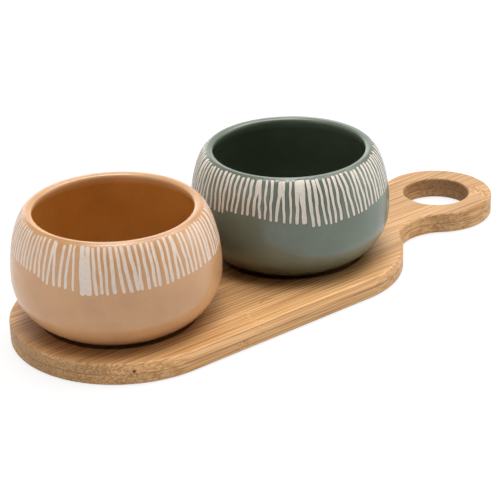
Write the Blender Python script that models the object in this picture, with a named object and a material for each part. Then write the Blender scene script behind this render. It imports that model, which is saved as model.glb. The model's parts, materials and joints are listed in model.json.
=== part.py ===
"""Chip and dip server: a laminated bamboo paddle board, and two stoneware bowls that stand loose in wells.

The board lies along X with its ring handle at +X, and rests on z = 0. It is pressed from two plies of
bamboo strips that run along X, with the seams of the lower ply half a strip away from those of the upper.
"""

import math

import bmesh
import bpy

# Bowls, in metres.
BELLY_RADIUS = 0.06165
BELLY_HEIGHT = 0.0330
BOWL_HEIGHT = 0.0701
FOOT_RADIUS = 0.0371
FOOT_RING_WIDTH = 0.0050
FOOT_RECESS_DEPTH = 0.0012
RIM_RADIUS = 0.0490
RIM_THICKNESS = 0.0042
WALL_THICKNESS = 0.0045
FLOOR_THICKNESS = 0.0055
FLOOR_RADIUS = 0.0360

# How full each half of a bowl's side is: the exponents of a superellipse from the belly to its edge.
LOWER_FULLNESS = (2.4, 1.333)
UPPER_FULLNESS = (1.8, 1.6)

# Board, in metres.
BOWL_GAP = 0.0091
ROUND_END_MARGIN = 0.00245
SIDE_MARGIN = 0.00615
SHOULDER_MARGIN = 0.00745
SHOULDER_RADIUS = 0.0635
HANDLE_LENGTH = 0.0944
NECK_WIDTH = 0.0456
RING_RADIUS = 0.0365
FINGER_HOLE_RADIUS = 0.0212
PLY_THICKNESS = 0.0066
STRIP_WIDTH = 0.0194
EDGE_ROUND = 0.0015
WELL_DEPTH = 0.0024

# Clearances, in metres.
GLUE_GAP = 0.0003
SEAT_GAP = 0.0003
WELL_CLEARANCE = 0.0041
CUT_MARGIN = 0.0050

# Mesh fineness.
BOWL_SEGMENTS = 48
SIDE_STEPS = 6
LIP_STEPS = 4
WELL_SEGMENTS = 48
HOLE_SEGMENTS = 36
ARC_STEP_DEGREES = 6.0
EDGE_STEPS = 2
SHARP_ANGLE = math.radians(35.0)

# Sizes that follow from those above. The origin lies midway between the board's two ends.
HALF_WIDTH = BELLY_RADIUS + SIDE_MARGIN
BOWL_SPACING = 2 * BELLY_RADIUS + BOWL_GAP
PADDLE_LENGTH = ROUND_END_MARGIN + 2 * BELLY_RADIUS + BOWL_SPACING + SHOULDER_MARGIN
BOARD_LENGTH = PADDLE_LENGTH + HANDLE_LENGTH
BOARD_THICKNESS = 2 * PLY_THICKNESS + GLUE_GAP
ROUND_END_X = -BOARD_LENGTH / 2
FIRST_BOWL_X = ROUND_END_X + ROUND_END_MARGIN + BELLY_RADIUS
BOWL_CENTRES = {"peach_bowl": FIRST_BOWL_X, "sage_bowl": FIRST_BOWL_X + BOWL_SPACING}
SHOULDER_X = ROUND_END_X + PADDLE_LENGTH - SHOULDER_RADIUS
SHOULDER_Y = HALF_WIDTH - SHOULDER_RADIUS
RING_X = BOARD_LENGTH / 2 - RING_RADIUS
NECK_HALF = NECK_WIDTH / 2
WELL_FLOOR_Z = BOARD_THICKNESS - WELL_DEPTH
SEAT_Z = WELL_FLOOR_Z + SEAT_GAP

# Colours and finishes.
BOWL_COLOURS = {"peach_bowl": (0.66, 0.40, 0.25), "sage_bowl": (0.15, 0.19, 0.17)}
BAMBOO_COLOUR = (0.50, 0.27, 0.11)
BAMBOO_ROUGHNESS = 0.5
TONE_CHANGE = 0.05
GLAZE_ROUGHNESS = 0.35


def clear_scene():
    for obj in list(bpy.data.objects):
        bpy.data.objects.remove(obj, do_unlink=True)


def material(name, colour, roughness):
    made = bpy.data.materials.new(name)
    made.use_nodes = True
    shader = made.node_tree.nodes["Principled BSDF"]
    shader.inputs["Base Color"].default_value = (*colour, 1.0)
    shader.inputs["Roughness"].default_value = roughness
    shader.inputs["Metallic"].default_value = 0.0
    return made


def new_object(name, bm, parent, location=(0.0, 0.0, 0.0)):
    bmesh.ops.recalc_face_normals(bm, faces=bm.faces)
    mesh = bpy.data.meshes.new(name)
    bm.to_mesh(mesh)
    bm.free()
    mesh.shade_smooth()
    mesh.set_sharp_from_angle(angle=SHARP_ANGLE)
    obj = bpy.data.objects.new(name, mesh)
    obj.location = location
    obj.parent = parent
    bpy.context.scene.collection.objects.link(obj)
    return obj


def as_cutter(obj):
    obj.hide_render = True
    obj.display_type = "WIRE"
    return obj


def boolean(obj, operation, other):
    cut = obj.modifiers.new(f"{operation.lower()} {other.name}", "BOOLEAN")
    cut.operation = operation
    cut.solver = "EXACT"
    cut.object = other


def loft(name, rings, parent):
    """A closed solid through rings of equally many points, flat at both ends."""
    bm = bmesh.new()
    loops = [[bm.verts.new(point) for point in ring] for ring in rings]
    count = len(loops[0])
    for low, high in zip(loops, loops[1:]):
        for i in range(count):
            j = (i + 1) % count
            bm.faces.new((low[i], low[j], high[j], high[i]))
    bm.faces.new(loops[0][::-1])
    bm.faces.new(loops[-1])
    return new_object(name, bm, parent)


def turned(name, profile, segments, parent, location):
    """A closed solid of revolution about Z, from a profile that starts and ends on the axis."""
    bm = bmesh.new()
    verts = [bm.verts.new((radius, 0.0, height)) for radius, height in profile]
    edges = [bm.edges.new(pair) for pair in zip(verts, verts[1:])]
    bmesh.ops.spin(
        bm, geom=verts + edges, cent=(0, 0, 0), axis=(0, 0, 1), angle=2 * math.pi, steps=segments
    )
    bmesh.ops.remove_doubles(bm, verts=bm.verts, dist=1e-6)
    return new_object(name, bm, parent, location)


# Bowls.


def side_radius(belly, edge, share, fullness):
    """Radius of a bowl's side at a share of the way from its belly, 0, to its edge, 1."""
    return edge + (belly - edge) * (1 - share ** fullness[0]) ** (1 / fullness[1])


def outer_radius(height):
    """Outer radius of a bowl below its belly, at a height above its foot."""
    return side_radius(BELLY_RADIUS, FOOT_RADIUS, 1 - height / BELLY_HEIGHT, LOWER_FULLNESS)


def side_points(belly, edge, edge_height, fullness):
    """Points from the edge of a bowl's side to its belly, closest together where it bends most."""
    points = []
    for step in range(SIDE_STEPS):
        share = math.cos(math.radians(90 * step / SIDE_STEPS))
        height = BELLY_HEIGHT + (edge_height - BELLY_HEIGHT) * share
        points.append((side_radius(belly, edge, share, fullness), height))
    return points


def bowl_profile():
    """Radius and height from the middle of the underside, up the outside, over the lip, down the inside."""
    lip_radius = RIM_THICKNESS / 2
    lip_height = BOWL_HEIGHT - lip_radius
    inner_belly = BELLY_RADIUS - WALL_THICKNESS
    foot_inner = FOOT_RADIUS - FOOT_RING_WIDTH
    underside = [
        (0.0, FOOT_RECESS_DEPTH),
        (foot_inner - FOOT_RECESS_DEPTH, FOOT_RECESS_DEPTH),
        (foot_inner, 0.0),
    ]
    outside = side_points(BELLY_RADIUS, FOOT_RADIUS, 0.0, LOWER_FULLNESS)
    outside += [(BELLY_RADIUS, BELLY_HEIGHT)]
    outside += side_points(BELLY_RADIUS, RIM_RADIUS + lip_radius, lip_height, UPPER_FULLNESS)[::-1]
    lip = []
    for step in range(1, LIP_STEPS):
        angle = math.pi * step / LIP_STEPS
        lip.append((RIM_RADIUS + lip_radius * math.cos(angle), lip_height + lip_radius * math.sin(angle)))
    inside = side_points(inner_belly, RIM_RADIUS - lip_radius, lip_height, UPPER_FULLNESS)
    inside += [(inner_belly, BELLY_HEIGHT)]
    inside += side_points(inner_belly, FLOOR_RADIUS, FLOOR_THICKNESS, LOWER_FULLNESS)[::-1]
    return underside + outside + lip + inside + [(0.0, FLOOR_THICKNESS)]


def make_bowl(name, centre_x, board):
    bowl = turned(name, bowl_profile(), BOWL_SEGMENTS, board, (centre_x, 0.0, SEAT_Z))
    bowl.data.materials.append(material(f"{name}_glaze", BOWL_COLOURS[name], GLAZE_ROUGHNESS))


# Board outline.


def neck_arc_radius():
    """Radius of the hollow arc that touches the shoulder arc, the ring and the neck's width, by bisection."""

    def reach(radius):
        to_shoulder = (SHOULDER_RADIUS + radius) ** 2 - (NECK_HALF + radius - SHOULDER_Y) ** 2
        to_ring = (RING_RADIUS + radius) ** 2 - (NECK_HALF + radius) ** 2
        return math.sqrt(to_shoulder) + math.sqrt(to_ring)

    low, high = 0.0, BOARD_LENGTH
    for _ in range(50):
        middle = (low + high) / 2
        if reach(middle) < RING_X - SHOULDER_X:
            low = middle
        else:
            high = middle
    return (low + high) / 2


NECK_ARC_RADIUS = neck_arc_radius()
NECK_ARC_Y = NECK_HALF + NECK_ARC_RADIUS
NECK_ARC_X = RING_X - math.sqrt((RING_RADIUS + NECK_ARC_RADIUS) ** 2 - NECK_ARC_Y**2)


def arc(centre, radius, start, end):
    """Points along an arc, with the angles in degrees."""
    steps = max(2, round(abs(end - start) / ARC_STEP_DEGREES))
    points = []
    for step in range(steps + 1):
        angle = math.radians(start + (end - start) * step / steps)
        points.append((centre[0] + radius * math.cos(angle), centre[1] + radius * math.sin(angle)))
    return points


def board_outline(inset):
    """The board's outline anticlockwise from above, moved inwards by the inset."""
    at_shoulder = math.degrees(math.atan2(SHOULDER_Y - NECK_ARC_Y, NECK_ARC_X - SHOULDER_X))
    at_ring = math.degrees(math.atan2(-NECK_ARC_Y, NECK_ARC_X - RING_X))
    shoulder = (SHOULDER_X, -SHOULDER_Y)
    hollow = (NECK_ARC_X, -NECK_ARC_Y)
    front = arc(shoulder, SHOULDER_RADIUS - inset, -90, at_shoulder)
    front += arc(hollow, NECK_ARC_RADIUS + inset, at_shoulder + 180, at_ring + 180)[1:]
    back = [(x, -y) for x, y in reversed(front)]
    ring = arc((RING_X, 0.0), RING_RADIUS - inset, at_ring, -at_ring)[1:-1]
    round_end = arc((ROUND_END_X + HALF_WIDTH, 0.0), HALF_WIDTH - inset, 90, 270)
    return round_end + front + ring + back


def edge_levels():
    """Height and inset of each ring of points up the board's rounded edge."""
    lower = []
    for step in range(EDGE_STEPS + 1):
        angle = math.radians(90 * step / EDGE_STEPS)
        lower.append((EDGE_ROUND * (1 - math.cos(angle)), EDGE_ROUND * (1 - math.sin(angle))))
    return lower + [(BOARD_THICKNESS - height, inset) for height, inset in reversed(lower)]


# Board.


def board_blank(board):
    rings = [[(x, y, height) for x, y in board_outline(inset)] for height, inset in edge_levels()]
    return as_cutter(loft("board_blank", rings, board))


def finger_hole(board):
    """The hole's cutter, which spreads at both faces to round their edges."""
    levels = edge_levels()
    profile = [(0.0, -CUT_MARGIN), (FINGER_HOLE_RADIUS + EDGE_ROUND, -CUT_MARGIN)]
    profile += [(FINGER_HOLE_RADIUS + inset, height) for height, inset in levels]
    profile += [
        (FINGER_HOLE_RADIUS + EDGE_ROUND, BOARD_THICKNESS + CUT_MARGIN),
        (0.0, BOARD_THICKNESS + CUT_MARGIN),
    ]
    return as_cutter(turned("finger_hole_cutter", profile, HOLE_SEGMENTS, board, (RING_X, 0.0, 0.0)))


def well(name, centre_x, board):
    """The cutter of the recess that a bowl stands in, clear of the bowl at the board's top face."""
    radius = outer_radius(BOARD_THICKNESS - SEAT_Z) + WELL_CLEARANCE
    top = WELL_DEPTH + CUT_MARGIN
    profile = [(0.0, 0.0), (radius, 0.0), (radius, top), (0.0, top)]
    location = (centre_x, 0.0, WELL_FLOOR_Z)
    return as_cutter(turned(f"{name}_well_cutter", profile, WELL_SEGMENTS, board, location))


def strip_box(name, x_range, y_range, z_range, board):
    low, high = zip(x_range, y_range, z_range)
    bm = bmesh.new()
    bmesh.ops.create_cube(bm, size=1.0)
    bmesh.ops.scale(bm, vec=[b - a for a, b in zip(low, high)], verts=bm.verts)
    return new_object(name, bm, board, [(a + b) / 2 for a, b in zip(low, high)])


def strip_pieces(name, nearest, furthest):
    """Names and X ranges of the pieces that the finger hole and the neck leave of a strip, from how far its
    edges lie from the centre line."""
    left = ROUND_END_X - CUT_MARGIN
    right = BOARD_LENGTH / 2 + CUT_MARGIN
    if furthest < FINGER_HOLE_RADIUS:
        return [(name, (left, RING_X)), (f"{name}_tip", (RING_X, right))]
    if NECK_HALF < nearest < RING_RADIUS:
        return [(name, (left, NECK_ARC_X)), (f"{name}_ring", (NECK_ARC_X, right))]
    return [(name, (left, right))]


def make_strip(name, y_range, z_range, tone, cutters, board):
    nearest = 0.0 if y_range[0] < 0 < y_range[1] else min(abs(y_range[0]), abs(y_range[1]))
    furthest = max(abs(y_range[0]), abs(y_range[1]))
    for piece, x_range in strip_pieces(name, nearest, furthest):
        strip = strip_box(piece, x_range, y_range, z_range, board)
        colour = [tone * channel for channel in BAMBOO_COLOUR]
        strip.data.materials.append(material(f"{piece}_bamboo", colour, BAMBOO_ROUGHNESS))
        boolean(strip, "INTERSECT", cutters[0])
        for cutter in cutters[1:]:
            boolean(strip, "DIFFERENCE", cutter)


def make_ply(ply, first_seam, z_range, cutters, board):
    """One ply: strips side by side from its first seam, which lies this far from the centre line, outwards to
    each edge of the board, and one strip between the two first seams if they lie apart."""
    if first_seam > 0:
        half = first_seam - GLUE_GAP / 2
        make_strip(f"{ply}_strip_centre", (-half, half), z_range, 1.0, cutters, board)
    count = math.ceil((HALF_WIDTH - first_seam) / STRIP_WIDTH)
    for index in range(count):
        low = first_seam + index * STRIP_WIDTH + GLUE_GAP / 2
        high = low + STRIP_WIDTH - GLUE_GAP
        tone = 1.0 + TONE_CHANGE * (-1) ** index
        make_strip(f"{ply}_strip_front_{index + 1}", (-high, -low), z_range, tone, cutters, board)
        make_strip(f"{ply}_strip_back_{index + 1}", (low, high), z_range, tone, cutters, board)


def make_board(board):
    blank = board_blank(board)
    hole = finger_hole(board)
    wells = [well(name, centre_x, board) for name, centre_x in BOWL_CENTRES.items()]
    lower = (-CUT_MARGIN, PLY_THICKNESS)
    upper = (PLY_THICKNESS + GLUE_GAP, BOARD_THICKNESS + CUT_MARGIN)
    make_ply("bottom", 0.0, lower, [blank, hole], board)
    make_ply("top", STRIP_WIDTH / 2, upper, [blank, hole, *wells], board)


def main():
    clear_scene()
    board = bpy.data.objects.new("board", None)
    bpy.context.scene.collection.objects.link(board)
    make_board(board)
    for name, centre_x in BOWL_CENTRES.items():
        make_bowl(name, centre_x, board)


main()
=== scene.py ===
import json
import math

import bpy
import numpy as np
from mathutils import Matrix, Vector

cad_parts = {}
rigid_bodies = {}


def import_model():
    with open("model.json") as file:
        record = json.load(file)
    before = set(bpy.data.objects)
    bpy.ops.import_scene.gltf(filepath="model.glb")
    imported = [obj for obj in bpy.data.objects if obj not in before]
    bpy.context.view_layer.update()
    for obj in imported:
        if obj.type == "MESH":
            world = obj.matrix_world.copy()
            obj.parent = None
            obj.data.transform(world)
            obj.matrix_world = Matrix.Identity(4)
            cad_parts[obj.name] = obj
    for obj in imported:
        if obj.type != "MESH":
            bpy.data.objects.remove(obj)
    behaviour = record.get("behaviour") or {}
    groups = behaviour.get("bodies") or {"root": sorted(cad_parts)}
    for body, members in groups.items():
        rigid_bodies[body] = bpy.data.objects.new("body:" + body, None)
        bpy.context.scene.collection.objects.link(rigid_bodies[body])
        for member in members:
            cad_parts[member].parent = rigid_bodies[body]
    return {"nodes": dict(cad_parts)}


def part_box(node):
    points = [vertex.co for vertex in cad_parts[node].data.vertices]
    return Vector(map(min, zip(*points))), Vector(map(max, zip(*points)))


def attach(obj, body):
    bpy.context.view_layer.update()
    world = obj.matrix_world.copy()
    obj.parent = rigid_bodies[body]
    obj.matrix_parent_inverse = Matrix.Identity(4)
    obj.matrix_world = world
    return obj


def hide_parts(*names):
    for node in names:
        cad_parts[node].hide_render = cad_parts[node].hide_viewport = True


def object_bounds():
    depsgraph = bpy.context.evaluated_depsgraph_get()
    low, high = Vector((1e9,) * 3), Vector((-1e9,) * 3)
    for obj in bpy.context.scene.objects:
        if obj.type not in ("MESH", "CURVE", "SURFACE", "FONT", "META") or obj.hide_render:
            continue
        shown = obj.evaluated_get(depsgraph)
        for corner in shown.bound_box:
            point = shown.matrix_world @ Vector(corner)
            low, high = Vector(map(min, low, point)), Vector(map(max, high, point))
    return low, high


# Chip and dip server: two stoneware bowls with a band of cream strokes, on a bamboo paddle board.
# The pieces' dictionaries are in millimetres and degrees; the studio, the meshes and the noises'
# spots are in metres.

for leftover in list(bpy.data.objects):
    bpy.data.objects.remove(leftover)
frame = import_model()
cadLow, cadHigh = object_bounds()
mm = 0.001


def ringQuads(count, columns):
    # point j of ring i has the number i * columns + j; a quad takes two neighbours of a ring and
    # the two above them, and the last point of a ring is next to its first
    here = np.arange(count * columns).reshape(count, columns)
    right = np.roll(here, -1, axis=1)
    quads = np.stack([here[:-1], right[:-1], right[1:], here[1:]], axis=-1).reshape(-1, 4)
    return here, right, quads


def latheMesh(name, rows, lowPole, highPole):
    # rows[i, j] is the point of ring i at column j, anticlockwise from above; quads join each ring
    # to the next, and a fan of triangles closes the first ring on the low pole and the last on the
    # high one
    here, right, quads = ringQuads(*rows.shape[:2])
    low, high = (np.full(here.shape[1], here.size + pole) for pole in (0, 1))
    lowFan = np.stack([low, right[0], here[0]], axis=1)
    highFan = np.stack([high, here[-1], right[-1]], axis=1)
    mesh = bpy.data.meshes.new(name)
    points = np.concatenate([rows.reshape(-1, 3), [lowPole, highPole]])
    mesh.from_pydata(points, [], quads.tolist() + lowFan.tolist() + highFan.tolist())
    mesh.shade_smooth()
    return mesh


def turnedMesh(name, radius, height, columns, centre):
    # a profile turned about Z: centre + (r cos a, r sin a, z), with its two ends closed on the axis
    angle = np.arange(columns) * 2 * np.pi / columns
    turned = radius[:, None] * np.cos(angle), radius[:, None] * np.sin(angle), height[:, None]
    rows = np.stack(np.broadcast_arrays(*turned), axis=-1)
    lowPole, highPole = (np.add(centre, (0, 0, end)) for end in (height[0], height[-1]))
    return latheMesh(name, rows + centre, lowPole, highPole)


def newObject(name, data):
    # an object at the origin, unturned and unscaled
    made = bpy.data.objects.new(name, data)
    bpy.context.scene.collection.objects.link(made)
    return made


def setAttribute(mesh, name, values):
    # a number for each point of the mesh, from an array of them or from one value for all
    layer = mesh.attributes.new(name, "FLOAT", "POINT")
    spread = np.broadcast_to(values, len(mesh.vertices))
    layer.data.foreach_set("value", np.ascontiguousarray(spread, dtype=np.float32))


def smoothStep(value, low, high):
    # 3 t^2 - 2 t^3, with t the share of the way from low to high
    t = np.clip((value - low) / (high - low), 0, 1)
    return t * t * (3 - 2 * t)


def startMaterial(name):
    # a material with an empty node tree
    made = bpy.data.materials.new(name)
    made.use_nodes = True
    made.node_tree.nodes.clear()
    return made


def node(tree, kind, values=(), **settings):
    # a node with its settings, and its inputs by name or number as a constant or as another node's
    # output
    made = tree.nodes.new(kind)
    for key, value in settings.items():
        setattr(made, key, value)
    for key, value in dict(values).items():
        if isinstance(value, bpy.types.NodeSocket):
            tree.links.new(value, made.inputs[key])
        else:
            made.inputs[key].default_value = value
    return made


def math2(tree, operation, a, b=0.0):
    # the operation on a and b, or on a alone
    return node(tree, "ShaderNodeMath", {0: a, 1: b}, operation=operation).outputs[0]


def add(tree, a, b):
    # a + b
    return math2(tree, "ADD", a, b)


def times(tree, *factors):
    # the product of all the factors
    product = factors[0]
    for factor in factors[1:]:
        product = math2(tree, "MULTIPLY", product, factor)
    return product


def vector2(tree, operation, a, b, output="Vector"):
    # the operation on the vectors a and b
    return node(tree, "ShaderNodeVectorMath", {0: a, 1: b}, operation=operation).outputs[output]


def ramp(tree, value, low, high, toLow=0.0, toHigh=1.0):
    # the value taken smoothly from toLow at low to toHigh at high
    values = {"Value": value, "From Min": low, "From Max": high, "To Min": toLow, "To Max": toHigh}
    made = node(tree, "ShaderNodeMapRange", values, interpolation_type="SMOOTHSTEP")
    return made.outputs["Result"]


def mixColour(tree, share, a, b, blend="MIX"):
    # (1 - share) * a + share * b, or with MULTIPLY a times the same mix of white and b
    made = node(tree, "ShaderNodeMix", {}, data_type="RGBA", blend_type=blend)
    for socket, value in ((made.inputs[0], share), (made.inputs[6], a), (made.inputs[7], b)):
        if isinstance(value, bpy.types.NodeSocket):
            tree.links.new(value, socket)
        else:
            socket.default_value = (*value, 1.0) if isinstance(value, tuple) else value
    return made.outputs[2]


def noise(tree, vector, scale, detail=2.0, roughness=0.5):
    # smooth noise from 0 to 1, with about as many spots to a metre as the scale says
    values = {"Vector": vector, "Scale": scale, "Detail": detail, "Roughness": roughness}
    return node(tree, "ShaderNodeTexNoise", values).outputs["Fac"]


def attribute(tree, name):
    # the numbers that setAttribute gave the points
    return node(tree, "ShaderNodeAttribute", attribute_name=name).outputs["Fac"]


def finishMaterial(made, colour, roughness, height, bumpDepth, specular):
    # one glossy coat, with its normal bent by the slope of height * bumpDepth
    tree = made.node_tree
    bump = node(tree, "ShaderNodeBump", {"Height": height, "Strength": 1.0, "Distance": bumpDepth})
    values = {"Base Color": colour, "Roughness": roughness, "Normal": bump.outputs["Normal"],
              "Specular IOR Level": specular}
    shader = node(tree, "ShaderNodeBsdfPrincipled", values)
    node(tree, "ShaderNodeOutputMaterial", {"Surface": shader.outputs["BSDF"]})
    return made


bowlShape = {
    "bellyHeight": 33.0,
    "footRadius": 37.1,
    "footRingWidth": 5.0,
    "footRecess": 1.2,
    "crestRadius": 50.4,  # the highest line of the lip
    "lipOut": (0.8, 1.9),  # how far the lip reaches out from its crest, and how far down
    "lipIn": (4.7, 3.5),
    "lipJoin": (35, 12),  # how far up the lip, as an angle, the outer and the inner side meet it
    "wall": 4.5,
    "floorThickness": 5.5,
    "floorRadius": 36.0,
    "lowerFullness": (2.4, 1.333),  # the two powers of the side's curve below the belly
    "upperFullness": (1.8, 1.6),
    "innerFullness": (1.7, 1.3),  # the inside above the belly, where the wall thickens upwards
    "softening": 0.7,  # how far the glaze rounds every corner of the profile
    "lipPoints": 161,
    "sidePoints": 400,
    "profilePoints": 6000,
    "columns": 840,
    # how many rings there are to a mm of the profile; inside stands for the underside too
    "rings": {"inside": 0.22, "side": 0.32, "strokes": 1.35, "lip": 1.7, "foot": 0.9},
    "footTop": 2,  # height of the foot ring's rings
    "footFrom": 28,  # radius from which they count as the foot
    "plainTop": 41,  # height up to which the outside has no strokes
    "lipReach": 3.6,  # how far the lip's rings go to either side of the crest
    "grooveDepth": 0.22,  # how deep a stroke is cut
    "grooveSide": (-0.12, 0.3),  # how far inside a stroke its groove starts and is full
    "handWobble": 0.12,
    "wobbleFrom": (4, 40),  # heights between which the wobble grows
}

strokeHabit = {
    "pitch": 3.4,  # angle from stroke to stroke round the back
    "shift": 0.6,  # how far a stroke may stand off its even place
    "sway": 0.8,  # slow lean to one side and the other
    "swayLength": 9,
    "widthSpread": 0.12,
    "pairs": 6,  # neighbours that start from one point
    "pairGap": 1.0,
    "topSpread": 0.22,
    "footSpread": 0.25,
    # how many times over its length a stroke wavers slowly and quickly, and how far the quick
    # waver goes as a share of the slow one
    "slowWaver": 0.7,
    "quickWaver": 2.9,
    "quickShare": 0.3,
    "stillEnds": (0.05, 0.95),  # shares of its length beyond which the waver keeps its strength
    "swells": 2.3,  # how many times its width swells, and by how much
    "swellShare": 0.05,
    "far": 3.0,  # depth is given up to this far inside or outside a stroke
}

peachBowl = {
    "node": "peach_bowl",
    "outside": (0.635, 0.350, 0.168),
    # the inside is more saturated than the outside: painted colour bounce and shade inside the bowl
    "inside": (0.645, 0.335, 0.084),
    "lip": (0.80, 0.49, 0.25),  # paler over the inner edge of the lip: partly glaze thinning over the edge, partly painted light
    "strokeEdge": (0.62, 0.32, 0.135),
    "foot": (0.59, 0.310, 0.142),  # warmer and darker towards the foot: painted warm light bounced from the board
    "stroke": (0.77, 0.645, 0.55),
    "strokeWidth": 1.6,
    "waver": 0.20,  # how far a stroke strays from its centre line, as an angle
    "footWidening": 1.15,  # width of a stroke's foot as a share of its top's
    "topHeight": 68.7,
    # how high the feet of the strokes stand, by angle
    "footLine": [
        (-190, 48.5), (-175, 48.5), (-165, 45), (-148, 44.5), (-143, 42.2),
        (-130, 43.3), (-112, 44), (-85, 45.3), (-60, 45.8), (170, 48.5),
    ],
    # the strokes of the front, each as the angles of its top and its foot
    "front": [
        (-188.0, -187.6), (-185.0, -184.5), (-181.0, -181.5), (-177.5, -178.0), (-174.5, -174.2),
        (-171.5, -170.7), (-167.2, -167.2), (-162.7, -164.5), (-161.5, -159.8), (-155.5, -156.3),
        (-151.5, -152.7), (-148.9, -148.2), (-144.0, -142.9), (-143.6, -140.4), (-140.7, -139.0),
        (-137.7, -135.2), (-134.2, -132.3), (-130.6, -129.5), (-127.3, -125.7), (-124.0, -120.8),
        (-120.8, -116.8), (-116.5, -113.2), (-112.5, -111.2), (-108.8, -107.2), (-105.0, -103.8),
        (-102.0, -101.1), (-97.5, -96.5), (-93.5, -93.5), (-89.2, -89.8), (-88.4, -86.0),
        (-83.3, -82.5), (-80.2, -79.3), (-75.0, -76.5), (-71.6, -72.6), (-68.0, -68.0),
        (-64.8, -64.2),
    ],
    "broad": {12: 2.5, 13: 1.5, 14: 2.5},  # widths of strokes of the front that differ, by number
    "seed": 11,
}

sageBowl = {
    "node": "sage_bowl",
    "outside": (0.158, 0.198, 0.154),
    # the inside is darker than the outside: painted shade inside the bowl
    "inside": (0.110, 0.138, 0.092),
    # paler over the inner edge of the lip: partly glaze thinning, partly painted light
    "lip": (0.175, 0.205, 0.152),
    "strokeEdge": (0.045, 0.055, 0.038),
    # warm brown towards the foot: painted warm light bounced from the board
    "foot": (0.125, 0.118, 0.062),
    "stroke": (0.76, 0.685, 0.595),
    "strokeWidth": 1.92,
    "waver": 0.30,
    "footWidening": 0.8,
    "topHeight": 69.1,
    "footLine": [
        (-190, 46), (-172, 46), (-169, 48.3), (-150, 47.8), (-140, 46),
        (-133, 45), (-121, 44.5), (-118, 42.2), (-106, 42.6), (-100, 43.5),
        (-87, 43.7), (-75, 45), (-60, 45.8), (170, 48.5),
    ],
    "front": [
        (-188.5, -187.0), (-184.5, -182.5), (-180.5, -178.5), (-176.5, -174.8), (-172.5, -172.2),
        (-169.0, -168.7), (-165.0, -165.5), (-161.0, -162.7), (-157.5, -158.3), (-154.0, -155.0),
        (-150.2, -151.2), (-148.8, -147.3), (-144.5, -144.3), (-140.8, -140.9), (-135.6, -137.7),
        (-133.6, -133.3), (-129.2, -129.8), (-125.2, -126.2), (-123.2, -122.2), (-121.6, -121.4),
        (-118.3, -116.8), (-114.7, -113.5), (-112.2, -109.2), (-107.8, -106.3), (-104.3, -103.3),
        (-100.7, -99.8), (-97.5, -94.7), (-94.2, -90.8), (-90.0, -87.2), (-85.8, -84.8),
        (-83.0, -81.0), (-78.7, -77.8), (-74.5, -74.5), (-71.0, -70.3), (-67.5, -67.2),
        (-64.0, -63.3),
    ],
    "broad": {14: 2.3, 17: 2.4, 18: 2.6, 19: 2.4, 20: 2.4},
    "seed": 23,
}

glaze = {
    # how far inwards from the lip's crest the inside's colour (painted shade and colour bounce)
    # sets in, and the lip's paler colour (partly painted light) comes and goes
    "insideFrom": (5.6, 9.0),
    "lipFrom": (1.5, 4.0),
    "lipTo": (5.0, 11.0),
    "thinBetween": (26, 5),  # heights between which the painted warm bounce light from the board sets in towards the foot
    "bareBelow": (0.5, 0.15),  # heights between which the foot ring is wiped bare
    "bareFrom": (31, 32.2),  # and the radii
    # spots to a metre, how much they show, and what they multiply the colour by
    "mottle": (60.0, 0.16, (0.5, 0.42, 0.34)),
    "speck": (1500.0, 0.3, (0.72, 0.68, 0.62)),
    "spotsBetween": (0.3, 0.7),  # values of the noise between which they set in
    "thickEdge": (-0.55, -0.1),  # stroke depths between which the glaze thickens before it stops
    "thickShare": 0.75,
    "edgeSpots": 900.0,
    "edgeRaggedness": 0.22,
    "edgeBlur": 0.07,
    "claySpots": 500.0,
    "clayBetween": (0.35, 0.75, 0.0, 0.5),  # from and to, and how much they show
    "clayDarkest": 0.82,  # its darkest spots as a share of the stroke's colour
    "roughBetween": (0.2, 0.8),
    "roughness": (0.20, 0.26),
    "clayRougher": 0.28,
    "dimples": 220.0,
    "dimpleDepth": 0.06,
    "speckHeight": 0.5,  # how high the specks stand, as a share of the dimples
    "specular": 0.62,
}


def sideRadius(belly, edge, share, fullness):
    # edge + (belly - edge) * (1 - share^a)^(1/b), from the belly at share 0 to the edge at share 1
    return edge + (belly - edge) * (1 - share ** fullness[0]) ** (1 / fullness[1])


def arcLength(radius, up):
    # the sum of the distances from point to point, up to each of them
    return np.concatenate([[0], np.cumsum(np.hypot(np.diff(radius), np.diff(up)))])


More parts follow.
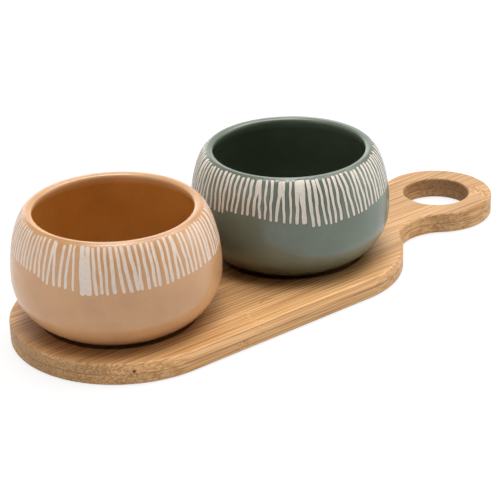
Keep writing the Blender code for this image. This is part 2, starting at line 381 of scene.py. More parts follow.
def bowlProfile(shape, belly, height):
    # radius and height from the middle of the underside, up the outside, over the lip and down the
    # inside, as points the same distance apart, each then replaced by the average of those within
    # the softening length; the lip is two quarter ellipses that meet at its crest: crest + reach
    # cos t, height - drop (1 - sin t)
    join = np.radians(shape["lipJoin"])
    turn = np.linspace(join[0], np.pi - join[1], shape["lipPoints"])
    outer, inner = np.array(shape["lipOut"]), np.array(shape["lipIn"])
    reach, drop = np.where(turn < np.pi / 2, outer[:, None], inner[:, None])
    lipRadius = shape["crestRadius"] + reach * np.cos(turn)
    lipHeight = height - drop * (1 - np.sin(turn))
    footInner = shape["footRadius"] - shape["footRingWidth"]
    share = np.cos(np.linspace(0, np.pi / 2, shape["sidePoints"]))
    middle = shape["bellyHeight"]
    inside = belly - shape["wall"]
    radius = np.concatenate([
        [0, footInner - shape["footRecess"], footInner],
        sideRadius(belly, shape["footRadius"], share, shape["lowerFullness"]),
        sideRadius(belly, lipRadius[0], share[-2::-1], shape["upperFullness"]),
        lipRadius[1:-1],
        sideRadius(inside, lipRadius[-1], share, shape["innerFullness"]),
        sideRadius(inside, shape["floorRadius"], share[-2::-1], shape["lowerFullness"]),
        [0],
    ])
    up = np.concatenate([
        [shape["footRecess"], shape["footRecess"], 0],
        middle * (1 - share),
        middle + (lipHeight[0] - middle) * share[-2::-1],
        lipHeight[1:-1],
        middle + (lipHeight[-1] - middle) * share,
        middle - (middle - shape["floorThickness"]) * share[-2::-1],
        [shape["floorThickness"]],
    ])
    length = arcLength(radius, up)
    even = np.linspace(0, length[-1], shape["profilePoints"])
    radius, up = np.interp(even, length, radius), np.interp(even, length, up)
    near = int(shape["softening"] / even[1])
    kernel = np.hanning(2 * near + 3)[1:-1]
    kernel /= kernel.sum()
    # the ends go on as their own mirror images, so that they stay in place
    before, after = slice(near, 0, -1), slice(-2, -near - 2, -1)
    radius = np.convolve(np.concatenate([-radius[before], radius, -radius[after]]), kernel, "valid")
    up = np.convolve(np.concatenate([up[before], up, up[after]]), kernel, "valid")
    return radius, up - up.min()


def profileRows(shape, belly, height):
    # rings at equal steps of the integral of the wanted number of rings to a mm, each with its
    # length from the lip's crest, its radius, its height and its outward normal, which is (dz/ds,
    # -dr/ds)
    radius, up = bowlProfile(shape, belly, height)
    length = arcLength(radius, up)
    crest = length[np.argmax(up)]
    outside = length < crest
    rings = shape["rings"]
    wanted = np.full(len(length), rings["inside"])
    wanted[outside & (up > shape["footTop"]) & (up < shape["plainTop"])] = rings["side"]
    wanted[outside & (up > shape["plainTop"])] = rings["strokes"]
    wanted[np.abs(length - crest) < shape["lipReach"]] = rings["lip"]
    wanted[outside & (up < shape["footTop"]) & (radius > shape["footFrom"])] = rings["foot"]
    total = np.concatenate([[0], np.cumsum((wanted[1:] + wanted[:-1]) / 2 * np.diff(length))])
    at = np.interp(np.linspace(0, total[-1], int(total[-1]) + 2)[1:-1], total, length)
    return {
        "length": at - crest,
        "radius": np.interp(at, length, radius),
        "up": np.interp(at, length, up),
        "normalR": np.interp(at, length, np.gradient(up, length)),
        "normalZ": -np.interp(at, length, np.gradient(radius, length)),
        "lowPole": up[0],
        "highPole": up[-1],
    }


def allStrokes(look, rng):
    # the strokes of the front, and round the rest of the bowl strokes at one pitch, each with a
    # random shift, lean and width; each as the angles, the heights of its two ends and its width
    habit = strokeHabit
    front = np.array(look["front"])
    start, end = front[-1].mean(), front[0].mean() + 360
    count = round((end - start) / habit["pitch"])
    evenly = start + (end - start) * np.arange(1, count) / count
    sway = habit["sway"] * np.sin(evenly / habit["swayLength"])
    top = evenly + rng.uniform(-habit["shift"], habit["shift"], count - 1)
    foot = evenly + rng.uniform(-habit["shift"], habit["shift"], count - 1) + sway
    width = rng.normal(1, habit["widthSpread"], len(front) + count - 1) * look["strokeWidth"]
    width[list(look["broad"])] = list(look["broad"].values())
    pairs = rng.choice(count - 2, habit["pairs"], replace=False)
    top[pairs] = top[pairs + 1] - habit["pairGap"]
    top, foot = np.append(front[:, 0], top), np.append(front[:, 1], foot)
    lineAngle, lineHeight = np.array(look["footLine"]).T
    wrapped = (foot - lineAngle[0]) % 360 + lineAngle[0]
    footHeight = np.interp(wrapped, lineAngle, lineHeight)
    footHeight = footHeight + rng.normal(0, habit["footSpread"], len(foot))
    topHeight = look["topHeight"] + rng.normal(0, habit["topSpread"], len(foot))
    return top, foot, width, topHeight, footHeight


def strokeDepth(look, rows, columns):
    # how far inside a stroke each point lies, in mm: half the stroke's width less the distance to
    # its centre line, which leans from the top's angle to the foot's and wavers by two sines; the
    # greatest of all strokes
    habit = strokeHabit
    rng = np.random.default_rng(look["seed"])
    strokes = (value[:, None, None] for value in allStrokes(look, rng))
    top, foot, width, topHeight, footHeight = strokes
    angle = (np.arange(columns) * 360 / columns)[None, None, :]
    outside = rows["length"] < 0
    topAt, footAt = (np.interp(height, rows["up"][outside], rows["length"][outside])
                     for height in (topHeight, footHeight))
    at = rows["length"][None, :, None]
    share = np.clip((topAt - at) / (topAt - footAt), 0, 1)
    phase = rng.uniform(0, 1, (4, len(top), 1, 1))
    slow = np.sin(2 * np.pi * (share * (habit["slowWaver"] + phase[0]) + phase[1]))
    quick = habit["quickShare"] * np.sin(2 * np.pi * (share * habit["quickWaver"] + phase[2]))
    fade = np.sin(np.pi * np.clip(share, *habit["stillEnds"]))
    centre = top + (foot - top) * share + look["waver"] * (slow + quick) * fade
    across = np.radians((angle - centre + 180) % 360 - 180) * rows["radius"][None, :, None]
    widening = 1 + (look["footWidening"] - 1) * share
    swell = 1 + habit["swellShare"] * np.sin(2 * np.pi * (share * habit["swells"] + phase[3]))
    half = width / 2 * widening * swell
    beyond = np.maximum(np.maximum(at - (topAt - half), (footAt + half) - at), 0)
    depth = (half - np.hypot(across, beyond)).max(axis=0)
    depth[~outside] = -habit["far"]
    return np.clip(depth, -habit["far"], habit["far"])


def perPoint(values, columns):
    # a value per ring, for each of its points, then for the two poles those of the first and the
    # last ring
    return np.append(np.repeat(values, columns), values[[0, -1]])


def makeBowl(look):
    # the profile's rings turned about the bowl's axis: in along the normal by the groove's depth
    # times the smooth step of the depth inside a stroke, and out by the hand's wobble times
    # sin(2a + seed) + sin(3a + 2 seed) / 2
    low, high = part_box(look["node"])
    centre, belly, height = (low + high) / 2, (high.x - low.x) / 2 / mm, (high.z - low.z) / mm
    rows = profileRows(bowlShape, belly, height)
    columns = bowlShape["columns"]
    depth = strokeDepth(look, rows, columns)
    angle = np.arange(columns) * 2 * np.pi / columns
    groove = bowlShape["grooveDepth"] * smoothStep(depth, *bowlShape["grooveSide"])
    radius = rows["radius"][:, None] - rows["normalR"][:, None] * groove
    up = rows["up"][:, None] - rows["normalZ"][:, None] * groove
    uneven = np.sin(2 * angle + look["seed"]) + 0.5 * np.sin(3 * angle + 2 * look["seed"])
    wobble = bowlShape["handWobble"] * smoothStep(rows["up"], *bowlShape["wobbleFrom"])
    radius = radius + uneven * wobble[:, None]
    points = np.stack([radius * np.cos(angle), radius * np.sin(angle), up], axis=-1) * mm
    base = np.array([centre.x, centre.y, low.z])
    lowPole, highPole = (base + (0, 0, rows[pole] * mm) for pole in ("lowPole", "highPole"))
    name = look["node"] + "_glazed"
    mesh = latheMesh(name, points + base, lowPole, highPole)

    outside = rows["length"] < 0
    # the lip's paler band: partly glaze thinning, partly painted light on the lip's inner side
    lip = smoothStep(rows["length"], *glaze["lipFrom"])
    lip = lip * (1 - smoothStep(rows["length"], *glaze["lipTo"]))
    # painted warm bounce light from the board, growing towards the foot
    thin = smoothStep(rows["up"], *glaze["thinBetween"]) * outside
    bare = smoothStep(rows["up"], *glaze["bareBelow"]) * outside
    bare = bare * smoothStep(rows["radius"], *glaze["bareFrom"])
    # where the inside's painted shade and colour bounce set in
    within = smoothStep(rows["length"], *glaze["insideFrom"])
    setAttribute(mesh, "stroke", np.append(depth.ravel(), [-strokeHabit["far"]] * 2))
    setAttribute(mesh, "within", perPoint(within, columns))
    setAttribute(mesh, "lip", perPoint(lip, columns))
    setAttribute(mesh, "thin", perPoint(thin, columns))
    setAttribute(mesh, "bareClay", perPoint(bare, columns))
    mesh.materials.append(glazeMaterial(look))
    bowl = newObject(name, mesh)
    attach(bowl, look["node"])
    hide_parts(look["node"])
    print("bowl", name, len(mesh.polygons), "faces", flush=True)


def glazeMaterial(look):
    # glaze with soft mottling and fine specks, a thicker line where it stops at a stroke, and bare
    # cream clay in the strokes and on the foot; a stroke's edge is where its depth plus a little
    # noise passes 0
    made = startMaterial(look["node"] + "_glaze")
    tree = made.node_tree
    where = node(tree, "ShaderNodeTexCoord").outputs["Object"]
    stroke = attribute(tree, "stroke")
    mottle = noise(tree, where, glaze["mottle"][0], 3.0)
    speck = noise(tree, where, glaze["speck"][0], 2.0, 0.6)
    # painted shade and colour bounce inside the bowl, as a darker, more saturated inside colour
    colour = mixColour(tree, attribute(tree, "within"), look["outside"], look["inside"])
    # paler lip band: partly glaze thinning, partly painted light
    colour = mixColour(tree, attribute(tree, "lip"), colour, look["lip"])
    # painted warm bounce light from the board towards the foot
    colour = mixColour(tree, attribute(tree, "thin"), colour, look["foot"])
    for spots, (_, most, tint) in ((mottle, glaze["mottle"]), (speck, glaze["speck"])):
        showing = ramp(tree, spots, *glaze["spotsBetween"], 0.0, most)
        colour = mixColour(tree, showing, colour, tint, "MULTIPLY")
    nearStroke = times(tree, ramp(tree, stroke, *glaze["thickEdge"]), glaze["thickShare"])
    colour = mixColour(tree, nearStroke, colour, look["strokeEdge"])

    ragged = math2(tree, "SUBTRACT", noise(tree, where, glaze["edgeSpots"]), 0.5)
    edge = add(tree, stroke, times(tree, ragged, glaze["edgeRaggedness"]))
    inStroke = ramp(tree, edge, -glaze["edgeBlur"], glaze["edgeBlur"])
    isClay = math2(tree, "MAXIMUM", inStroke, attribute(tree, "bareClay"))
    clayShade = ramp(tree, noise(tree, where, glaze["claySpots"], 3.0), *glaze["clayBetween"])
    darkClay = tuple(glaze["clayDarkest"] * channel for channel in look["stroke"])
    clay = mixColour(tree, clayShade, look["stroke"], darkClay)
    colour = mixColour(tree, isClay, colour, clay)
    gloss = ramp(tree, mottle, *glaze["roughBetween"], *glaze["roughness"])
    roughness = add(tree, times(tree, isClay, glaze["clayRougher"]), gloss)
    specks = times(tree, speck, glaze["speckHeight"])
    height = add(tree, specks, noise(tree, where, glaze["dimples"]))
    depth = glaze["dimpleDepth"] * mm
    return finishMaterial(made, colour, roughness, height, depth, glaze["specular"])


board = {
    "paddleLength": 265.6,
    "shoulderRadius": 63.5,
    "neckWidth": 45.6,
    "ringRadius": 36.5,
    "holeRadius": 21.2,
    "edgeRound": 1.5,
    "wellRadius": 47.0,
    "wellDepth": 2.4,
    "wellRound": 0.5,
    "cadGap": 0.3,  # what the CAD leaves between strips and between plies
    "seam": 0.03,  # what is left here
    "arcStep": 1.5,
    "edgeSteps": 6,
    "wellSteps": 3,
    "roundColumns": 240,
    "hollowTries": 200001,
    "cutterReach": 5,  # how far the cutters stand out of the faces
    "sharpAngle": 24,
}

bamboo = {
    "pale": (0.685, 0.412, 0.190),
    "tan": (0.45, 0.212, 0.062),
    "fibre": (0.21, 0.080, 0.018),
    "knuckleDark": (0.26, 0.10, 0.025),
    "knucklePale": (0.80, 0.50, 0.21),
    "pinHoleDark": (0.09, 0.035, 0.012),
    "toneSpread": 0.10,
    "toneShift": 3.1,  # how far along X the tone moves the grain, so that no two strips are alike
    # from 0 for the darkest strip to 1 for the palest; the others get theirs at random
    "tones": {"top_strip_front_2": 0.05},
    # streaks to a metre along and across the grain
    "broadStreaks": (5.0, 240.0),
    "fineStreaks": (11.0, 820.0),
    "bundles": (9.0, 1000.0),
    "drift": (6.0, 150.0),
    "fineShare": 0.78,
    "lineSpacing": 2.65,
    "lineDrift": 9.0,
    "lineStrength": 0.045,
    "paleBetween": (0.38, 0.60),  # streak values between which tan turns to pale
    "bundleSize": (0.38, 0.16),  # where a bundle of fibre fades out and where it is full, in cells
    "bundleStrength": 0.62,
    # from and to, and what share of the bundles shows: up a ply, and on faces that look along Y
    # and along X
    "bundlesUp": (0.0, 1.0, 1.0, 0.75),
    "bundlesOnSides": (0.8, 1.0, 1.0, 0.6),
    "bundlesOnEnds": (0.2, 0.9, 1.0, 0.75),
    "bundleHollow": 0.6,  # how deep the bundles lie, as a share of the fine streaks
    "sandedSide": 0.25,  # how much paler the long edges are: painted light on the faces that look along Y
    "endGrain": -0.20,  # how much paler the cut ends are, here darker: end grain, with painted shade for the hole's wall and the neck
    "glueHalf": (0.4, 0.1),  # half the width of the line between the plies, faded and full
    "gluePatches": 18.0,
    "glueBetween": (0.35, 0.6, 0.4, 0.9),  # from and to, and how much it shows
    "routed": (0.45, 0.387, 0.297),  # painted shade: multiplies the wells' floors and walls, where the bowls' shade falls
    "holeShare": 0.5,  # how far the hole's wall is darkened with painted shade, as a share of the wells
    "scratch": ((-48.3, -48.7), (-38.8, -47.9), 2.3),  # from, to, how far it bows out to the left
    "scratchHalf": (0.5, 0.2),
    "scratchDepth": 0.3,  # how far below the top it goes
    "scratchShare": 0.75,
    # where along X a strip has a knuckle and how strongly it shows; the others' are at random
    "knuckles": {"top_strip_front_1": (165.5, 1.0), "bottom_strip_front_4": (-77.0, 0.7),
                 "top_strip_front_3": (-64.0, 0.25), "top_strip_front_2": (14.0, 0.6),
                 "top_strip_centre": (-112.0, 0.6)},
    "knucklePlaces": (-140, 60),
    "knuckleStrengths": (0.3, 0.7),
    "knuckleReach": 4.2,  # where it fades to a third
    "knuckleSwerve": 6.0,  # how far the streaks swerve at it
    "knuckleSpots": 330.0,
    "knuckleLines": (4.2, 22.0),  # how fast its lines follow one another, and how crooked they are
    "knuckleDarkAt": (0.35, 0.95),
    "knucklePaleAt": (-0.3, -0.95),
    "knuckleShares": (0.75, 0.55),  # how much its dark and its pale lines show
    "pinHole": (-147.6, -57.8, 8.5),
    "pinHoleRadius": (1.2, 0.7),  # faded and full
    "roughBetween": (0.2, 0.8),
    "roughness": (0.42, 0.56),
    "grainDepth": 0.09,
    "specular": 0.4,
    "seed": 5,
}


def arcPoints(centre, radius, start, end):
    # centre + radius * (cos a, sin a), with a from start to end
    angle = np.radians(np.linspace(start, end, int(abs(end - start) / board["arcStep"]) + 2))
    return np.array(centre) + radius * np.stack([np.cos(angle), np.sin(angle)], axis=1)


def boardOutline(length, width, inset):
    # anticlockwise from above: the round end, a shoulder arc, a hollow arc, the ring, and the two
    # arcs mirrored, all moved inwards by the inset; the hollow touches the shoulder, the neck's
    # width and the ring, so its radius r is the one for which the way from shoulder to ring is
    # sqrt((shoulder + r)^2 - (neck + r - shoulderY)^2) + sqrt((ring + r)^2 - (neck + r)^2)
    half, neck = width / 2, board["neckWidth"] / 2
    shoulder, ring = board["shoulderRadius"], board["ringRadius"]
    endX, ringX = -length / 2 + half, length / 2 - ring
    shoulderX, shoulderY = -length / 2 + board["paddleLength"] - shoulder, half - shoulder
    tries = np.linspace(0, length, board["hollowTries"])
    fromShoulder = np.sqrt((shoulder + tries) ** 2 - (neck + tries - shoulderY) ** 2)
    fromRing = np.sqrt((ring + tries) ** 2 - (neck + tries) ** 2)
    hollow = np.interp(ringX - shoulderX, fromShoulder + fromRing, tries)
    hollowY = neck + hollow
    hollowX = ringX - math.sqrt((ring + hollow) ** 2 - hollowY ** 2)
    atShoulder = math.degrees(math.atan2(shoulderY - hollowY, hollowX - shoulderX))
    atRing = math.degrees(math.atan2(-hollowY, hollowX - ringX))
    front = np.concatenate([
        arcPoints((shoulderX, -shoulderY), shoulder - inset, -90, atShoulder),
        arcPoints((hollowX, -hollowY), hollow + inset, atShoulder + 180, atRing + 180)[1:],
    ])
    return np.concatenate([
        arcPoints((endX, 0), half - inset, 90, 270),
        front,
        arcPoints((ringX, 0), ring - inset, atRing, -atRing)[1:-1],
        front[::-1] * (1, -1),
    ])


def roundedLevels(thickness):
    # height and inset of each ring of a rounded edge: quarter circles at the bottom and at the top
    turn = np.linspace(0, np.pi / 2, board["edgeSteps"] + 1)
    height, inset = board["edgeRound"] * (1 - np.cos(turn)), board["edgeRound"] * (1 - np.sin(turn))
    return np.concatenate([height, thickness - height[::-1]]), np.concatenate([inset, inset[::-1]])


def prismMesh(name, rings):
    # rings of equally many points joined by quads, with one face across the first and the last
    here, _, quads = ringQuads(*rings.shape[:2])
    mesh = bpy.data.meshes.new(name)
    ends = [here[0, ::-1].tolist(), here[-1].tolist()]
    mesh.from_pydata(rings.reshape(-1, 3), [], quads.tolist() + ends)
    return mesh


def boardCutters(length, width, thickness):
    # the whole board as one blank, which is its outline carried up its rounded edge; the finger
    # hole, which flares by the edge's insets; and a well for each bowl, whose wall ends in a
    # quarter circle: wall + round (1 - cos t)
    heights, insets = roundedLevels(thickness)
    outlines = [boardOutline(length, width, inset) for inset in insets]
    rings = [np.insert(outline, 2, height, axis=1) for outline, height in zip(outlines, heights)]
    blank = newObject("blank", prismMesh("blank", np.array(rings) * mm))

    hole, reach, columns = board["holeRadius"], board["cutterReach"], board["roundColumns"]
    flare = hole + board["edgeRound"]
    radius = np.concatenate([[flare], hole + insets, [flare]]) * mm
    levels = np.concatenate([[-reach], heights, [thickness + reach]]) * mm
    ringX = (length / 2 - board["ringRadius"]) * mm
    flared = turnedMesh("hole", radius, levels, columns, (ringX, 0, 0))
    cutters = {"hole": newObject("hole", flared)}

    turn = np.linspace(0, np.pi / 2, board["wellSteps"] + 1)
    wall, rounding = board["wellRadius"], board["wellRound"]
    radius = np.concatenate([[wall], wall + rounding * (1 - np.cos(turn)), [wall + rounding]]) * mm
    edge = thickness - rounding * (1 - np.sin(turn))
    levels = np.concatenate([[thickness - board["wellDepth"]], edge, [thickness + reach]]) * mm
    for name in ("peach_bowl", "sage_bowl"):
        low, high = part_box(name)
        well = turnedMesh(name + "_well", radius, levels, columns, ((low.x + high.x) / 2, 0, 0))
        cutters[name] = newObject(name + "_well", well)
    return blank, cutters


def wellAndHoleShade(mesh):
    # how far each point is darkened by painted shade: 1 under a strip's top, down to a little under
    # the well's depth, where it is nearer to a bowl's axis than the edge of its well, and the
    # hole's share on the wall of the hole
    points = np.empty(len(mesh.vertices) * 3)
    mesh.vertices.foreach_get("co", points)
    x, y, z = points.reshape(-1, 3).T / mm
    middles = [(low + high) / 2 / mm for low, high in map(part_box, ("peach_bowl", "sage_bowl"))]
    reach = np.min([np.hypot(x - middle.x, y - middle.y) for middle in middles], axis=0)
    deep = (z < z.max() - board["wellRound"] / 2) & (z > z.max() - board["wellDepth"] - 1)
    inWell = deep & (reach < board["wellRadius"] + board["wellRound"])
    fromRing = np.hypot(x - (cadHigh.x / mm - board["ringRadius"]), y)
    onHole = fromRing < board["holeRadius"] + board["edgeRound"] / 2
    return np.where(inWell, 1.0, np.where(onHole, bamboo["holeShare"], 0.0))


def makeStrip(name, blank, cutters, tone, knuckle, strength, material):
    # the CAD strip's box, grown until it nearly meets its neighbours, cut to the blank's outline
    # and by the hole and the wells
    low, high = (np.array(corner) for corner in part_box(name))
    nearly = (board["cadGap"] - board["seam"]) / 2 * mm
    low, high = low - (mm, nearly, nearly), high + (mm, nearly, nearly)
    corners = [(low[0], low[1]), (high[0], low[1]), (high[0], high[1]), (low[0], high[1])]
    rings = np.array([[(*corner, z) for corner in corners] for z in (low[2], high[2])])
    strip = newObject(name + "_bamboo", prismMesh(name + "_bamboo", rings))
    needed = [("INTERSECT", blank)]
    for key, cutter in cutters.items():
        if key == "hole" or name.startswith("top"):
            needed.append(("DIFFERENCE", cutter))
    for operation, other in needed:
        cut = strip.modifiers.new(other.name, "BOOLEAN")
        cut.operation, cut.solver, cut.object = operation, "EXACT", other
    cutStrip = strip.evaluated_get(bpy.context.evaluated_depsgraph_get())
    cutMesh = bpy.data.meshes.new_from_object(cutStrip)
    strip.modifiers.clear()
    strip.data = cutMesh
    cutMesh.materials.clear()
    cutMesh.materials.append(material)
    cutMesh.shade_smooth()
    cutMesh.set_sharp_from_angle(angle=math.radians(board["sharpAngle"]))
    smooth = strip.modifiers.new("flat faces stay flat", "WEIGHTED_NORMAL")
    smooth.keep_sharp, smooth.weight = True, 100
    setAttribute(cutMesh, "tone", tone)
    setAttribute(cutMesh, "knuckle", knuckle * mm)
    setAttribute(cutMesh, "knuckleStrength", strength)
    # painted shade in the wells under the bowls and on the hole's wall
    setAttribute(cutMesh, "routed", wellAndHoleShade(cutMesh))
    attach(strip, "board")
    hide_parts(name)


def makeBoard():
    # every strip cut from one blank; the pieces that the hole and the neck cut off share their
    # strip's looks
    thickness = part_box("top_strip_centre")[1].z / mm
    length, width = (cadHigh.x - cadLow.x) / mm, (cadHigh.y - cadLow.y) / mm
    blank, cutters = boardCutters(length, width, thickness)
    material = bambooMaterial(thickness)
    rng = np.random.default_rng(bamboo["seed"])
    strips = {name: name.replace("_tip", "").replace("_ring", "")
              for name in sorted(frame["nodes"]) if "_strip_" in name}
    whole = sorted(set(strips.values()))
    tones = dict(zip(whole, rng.uniform(0, 1, len(whole)))) | bamboo["tones"]
    places = rng.uniform(*bamboo["knucklePlaces"], len(whole))
    strengths = rng.uniform(*bamboo["knuckleStrengths"], len(whole))
    knuckles = dict(zip(whole, zip(places, strengths))) | bamboo["knuckles"]
    for name, strip in strips.items():
        makeStrip(name, blank, cutters, tones[strip], *knuckles[strip], material)
    for cutter in (blank, *cutters.values()):
        bpy.data.objects.remove(cutter)
    print("board", len(strips), "strips", flush=True)


def stretched(tree, grain, scale):
    # the place times scale[0] along the grain and scale[1] across it
    return vector2(tree, "MULTIPLY", grain, (scale[0], scale[1], scale[1]))


def knuckleField(tree, where, x):
    # how far past the strip's knuckle a point is, in reaches; how near, which is exp(-away^2) times
    # its strength; and the noise that makes its lines uneven
    away = math2(tree, "SUBTRACT", x, attribute(tree, "knuckle"))
    away = math2(tree, "DIVIDE", away, bamboo["knuckleReach"] * mm)
    near = math2(tree, "EXPONENT", times(tree, away, away, -1.0))
    near = times(tree, near, attribute(tree, "knuckleStrength"))
    uneven = math2(tree, "SUBTRACT", noise(tree, where, bamboo["knuckleSpots"]), 0.5)
    return away, near, uneven


def grainColour(tree, grain, sideways, z, thickness):
    # tan to pale by fine and broad streaks plus regular lines, sin(2 pi y / spacing + drift), on
    # top and below; then dark bundles of fibre, which thin out towards each ply's top and on the
    # sides and the ends
    alongX, alongY, alongZ = sideways
    fine = noise(tree, stretched(tree, grain, bamboo["fineStreaks"]), 1.0, 3.0, 0.65)
    broad = noise(tree, stretched(tree, grain, bamboo["broadStreaks"]), 1.0)
    drift = noise(tree, stretched(tree, grain, bamboo["drift"]), 1.0, 1.0)
    across = node(tree, "ShaderNodeSeparateXYZ", {"Vector": grain}).outputs["Y"]
    turns = times(tree, across, 2 * math.pi / bamboo["lineSpacing"] / mm)
    turns = add(tree, turns, times(tree, drift, bamboo["lineDrift"]))
    lines = times(tree, math2(tree, "SINE", turns), alongZ)
    fineShare = bamboo["fineShare"]
    streak = add(tree, times(tree, broad, 1 - fineShare), times(tree, fine, fineShare))
    streak = add(tree, streak, times(tree, lines, bamboo["lineStrength"]))
    palest = ramp(tree, streak, *bamboo["paleBetween"])
    colour = mixColour(tree, palest, bamboo["tan"], bamboo["pale"])

    cells = {"Vector": stretched(tree, grain, bamboo["bundles"]), "Scale": 1.0, "Randomness": 0.75}
    bundleAt = node(tree, "ShaderNodeTexVoronoi", cells).outputs["Distance"]
    plyShare = math2(tree, "FRACT", math2(tree, "DIVIDE", z, thickness * mm / 2))
    bundle = times(tree, ramp(tree, bundleAt, *bamboo["bundleSize"]),
                   ramp(tree, plyShare, *bamboo["bundlesUp"]),
                   ramp(tree, alongY, *bamboo["bundlesOnSides"]),
                   ramp(tree, alongX, *bamboo["bundlesOnEnds"]))
    colour = mixColour(tree, times(tree, bundle, bamboo["bundleStrength"]), colour, bamboo["fibre"])
    return colour, fine, bundle


def scratchShare(tree, where, z, thickness):
    # the scratch's share on a thin line on top: along it by the dot product with its direction over
    # its length, and off it by the product with its left side less bow * sin(pi along)
    (startX, startY), (endX, endY), bow = bamboo["scratch"]
    runX, runY = (endX - startX) * mm, (endY - startY) * mm
    size = math.hypot(runX, runY)
    fromStart = vector2(tree, "SUBTRACT", where, (startX * mm, startY * mm, 0))
    direction, leftSide = (runX / size ** 2, runY / size ** 2, 0), (-runY / size, runX / size, 0)
    along = vector2(tree, "DOT_PRODUCT", fromStart, direction, "Value")
    aside = vector2(tree, "DOT_PRODUCT", fromStart, leftSide, "Value")
    bowed = times(tree, math2(tree, "SINE", times(tree, along, math.pi)), bow * mm)
    off = math2(tree, "ABSOLUTE", math2(tree, "SUBTRACT", aside, bowed))
    faded, full = (half * mm for half in bamboo["scratchHalf"])
    halfway = {0: along, 1: 0.5, 2: 0.5}  # true within half the length of the middle
    within = node(tree, "ShaderNodeMath", halfway, operation="COMPARE").outputs[0]
    onTop = math2(tree, "GREATER_THAN", z, (thickness - bamboo["scratchDepth"]) * mm)
    return times(tree, ramp(tree, off, faded, full), within, onTop, bamboo["scratchShare"])


def bambooMaterial(thickness):
    # pale straw with tan streaks and dark bundles of fibre, all stretched along X, so that they are
    # lines on the faces and dots on the ends; at a knuckle the streaks swerve and dark and pale
    # lines cross the strip
    made = startMaterial("bamboo")
    tree = made.node_tree
    coordinates = node(tree, "ShaderNodeTexCoord")
    where = coordinates.outputs["Object"]
    facing = node(tree, "ShaderNodeSeparateXYZ", {"Vector": coordinates.outputs["Normal"]})
    sideways = [math2(tree, "ABSOLUTE", facing.outputs[axis]) for axis in "XYZ"]
    parts = node(tree, "ShaderNodeSeparateXYZ", {"Vector": where})
    x, z = parts.outputs["X"], parts.outputs["Z"]
    tone = attribute(tree, "tone")

    away, near, uneven = knuckleField(tree, where, x)
    swerve = times(tree, uneven, near, bamboo["knuckleSwerve"] * mm)
    toneShift = times(tree, tone, bamboo["toneShift"])
    shifts = {"X": toneShift, "Y": add(tree, swerve, tone), "Z": swerve}
    shift = node(tree, "ShaderNodeCombineXYZ", shifts).outputs["Vector"]
    grain = vector2(tree, "ADD", where, shift)
    colour, fine, bundle = grainColour(tree, grain, sideways, z, thickness)

    spread = bamboo["toneSpread"]
    light = ramp(tree, tone, 0.0, 1.0, 1.0 - spread, 1.0 + spread)
    # painted light on the faces that look along Y; faces that look along X darker, end grain with
    # painted shade
    for axis, paler in ((1, bamboo["sandedSide"]), (0, bamboo["endGrain"])):
        light = times(tree, light, add(tree, 1.0, times(tree, sideways[axis], paler)))
    lights = node(tree, "ShaderNodeCombineXYZ", {"X": light, "Y": light, "Z": light}).outputs[0]
    colour = mixColour(tree, 1.0, colour, lights, "MULTIPLY")

    pace, crooked = bamboo["knuckleLines"]
    darkShare, paleShare = bamboo["knuckleShares"]
    crossing = math2(tree, "SINE", add(tree, times(tree, away, pace), times(tree, uneven, crooked)))
    dark = ramp(tree, crossing, *bamboo["knuckleDarkAt"])
    bright = ramp(tree, crossing, *bamboo["knucklePaleAt"])
    colour = mixColour(tree, times(tree, dark, near, darkShare), colour, bamboo["knuckleDark"])
    colour = mixColour(tree, times(tree, bright, near, paleShare), colour, bamboo["knucklePale"])

    fromGlue = math2(tree, "ABSOLUTE", math2(tree, "SUBTRACT", z, thickness * mm / 2))
    glue = ramp(tree, fromGlue, *(half * mm for half in bamboo["glueHalf"]))
    patchy = (bamboo["gluePatches"], bamboo["gluePatches"], 0.0)
    patches = noise(tree, vector2(tree, "MULTIPLY", where, patchy), 1.0)
    glue = times(tree, glue, ramp(tree, patches, *bamboo["glueBetween"]))
    colour = mixColour(tree, glue, colour, bamboo["fibre"])
    pin = tuple(mm * value for value in bamboo["pinHole"])
    fromPin = vector2(tree, "DISTANCE", where, pin, "Value")
    pinHole = ramp(tree, fromPin, *(radius * mm for radius in bamboo["pinHoleRadius"]))
    colour = mixColour(tree, pinHole, colour, bamboo["pinHoleDark"])
    colour = mixColour(tree, scratchShare(tree, where, z, thickness), colour, bamboo["fibre"])
    # painted shade in the wells under the bowls and on the hole's wall
    colour = mixColour(tree, attribute(tree, "routed"), colour, bamboo["routed"], "MULTIPLY")
    height = math2(tree, "SUBTRACT", fine, times(tree, bundle, bamboo["bundleHollow"]))
    roughness = ramp(tree, fine, *bamboo["roughBetween"], *bamboo["roughness"])
    depth = bamboo["grainDepth"] * mm
    return finishMaterial(made, colour, roughness, height, depth, bamboo["specular"])


studio = {
    "cameraPlace": (-0.6712, -0.8228, 0.5188),
    "cameraTurn": (64.6775, 1.5414, -39.2474),
    "lens": 135.77,
    "sensor": 36.0,
    "floorRadius": 6.0,
    "floorDrop": 0.0002,
    "floorColumns": 64,
    "paper": 0.75,  # how much light the white floor gives back
    "bleach": 0.72,  # how far the camera sees the floor as plain white
    "glow": 1.08,
    "backdrop": 1.1,  # brightness that the camera sees behind it all
    # soft lights far away: the azimuth from +X and the elevation that each comes from, its
    # brightness, and its spread: it has faded to a third where the cosine of the angle off its
    # middle is that much under 1
    "lights": {
        "behind": (72, 8, 2.3, 0.07),
        "behind, towards the handle": (36, 8, 0.9, 0.07),
        "behind and above": (54, 42, 7.0, 0.008),
        "left": (184, 8, 1.75, 0.07),
        "left and behind": (144, 8, 0.9, 0.07),
        "right": (330, 12, 2.7, 0.07),
        "right and above": (300, 58, 0.6, 0.07),
        "handle end, above": (0, 58, 8.2, 0.022),
        "overhead": (0, 90, 13.4, 0.03),
    },
}


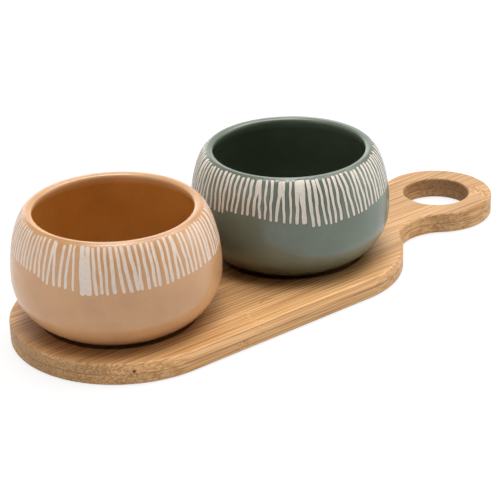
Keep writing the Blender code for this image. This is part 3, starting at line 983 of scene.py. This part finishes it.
def makeFloor():
    # a wide disc of white paper just under the board, radius * (cos a, sin a)
    columns = studio["floorColumns"]
    angle = np.arange(columns) * 2 * np.pi / columns
    rim = np.stack([np.cos(angle), np.sin(angle), 0 * angle], axis=1) * studio["floorRadius"]
    mesh = bpy.data.meshes.new("floor")
    mesh.from_pydata(rim - (0, 0, studio["floorDrop"]), [], [list(range(columns))])
    made = startMaterial("white_paper")
    tree = made.node_tree
    matt = node(tree, "ShaderNodeBsdfDiffuse", {"Color": (*[studio["paper"]] * 3, 1)})
    glow = node(tree, "ShaderNodeEmission", {"Color": (1, 1, 1, 1), "Strength": studio["glow"]})
    seen = node(tree, "ShaderNodeLightPath").outputs["Is Camera Ray"]
    bleach = times(tree, seen, studio["bleach"])
    both = node(tree, "ShaderNodeMixShader", {0: bleach, 1: matt.outputs[0], 2: glow.outputs[0]})
    node(tree, "ShaderNodeOutputMaterial", {"Surface": both.outputs[0]})
    mesh.materials.append(made)
    newObject("floor", mesh)


def makeSky():
    # brightness towards d: the sum over the lights of bright * exp((d . towards - 1) / spread), and
    # at least the backdrop's to the camera
    world = bpy.data.worlds.new("studio")
    bpy.context.scene.world = world
    world.use_nodes = True
    tree = world.node_tree
    tree.nodes.clear()
    facing = node(tree, "ShaderNodeTexCoord").outputs["Generated"]
    total = 0.0
    for azimuth, elevation, bright, spread in studio["lights"].values():
        flat, turn = math.cos(math.radians(elevation)), math.radians(azimuth)
        towards = (flat * math.cos(turn), flat * math.sin(turn), math.sin(math.radians(elevation)))
        off = math2(tree, "SUBTRACT", vector2(tree, "DOT_PRODUCT", facing, towards, "Value"), 1.0)
        fall = math2(tree, "EXPONENT", math2(tree, "DIVIDE", off, spread))
        total = add(tree, times(tree, fall, bright), total)
    seen = node(tree, "ShaderNodeLightPath").outputs["Is Camera Ray"]
    strength = math2(tree, "MAXIMUM", total, times(tree, seen, studio["backdrop"]))
    shade = node(tree, "ShaderNodeBackground", {"Color": (1, 1, 1, 1), "Strength": strength})
    node(tree, "ShaderNodeOutputWorld", {"Surface": shade.outputs[0]})


def makeCamera():
    # a long lens that looks down on the board from its front and its round end
    data = bpy.data.cameras.new("camera")
    data.lens, data.sensor_width = studio["lens"], studio["sensor"]
    made = newObject("camera", data)
    made.location = studio["cameraPlace"]
    made.rotation_euler = [math.radians(angle) for angle in studio["cameraTurn"]]
    bpy.context.scene.camera = made


makeBowl(peachBowl)
makeBowl(sageBowl)
makeBoard()
makeFloor()
makeSky()
makeCamera()
bpy.context.scene.view_settings.view_transform = "Standard"
print("studio ready", flush=True)
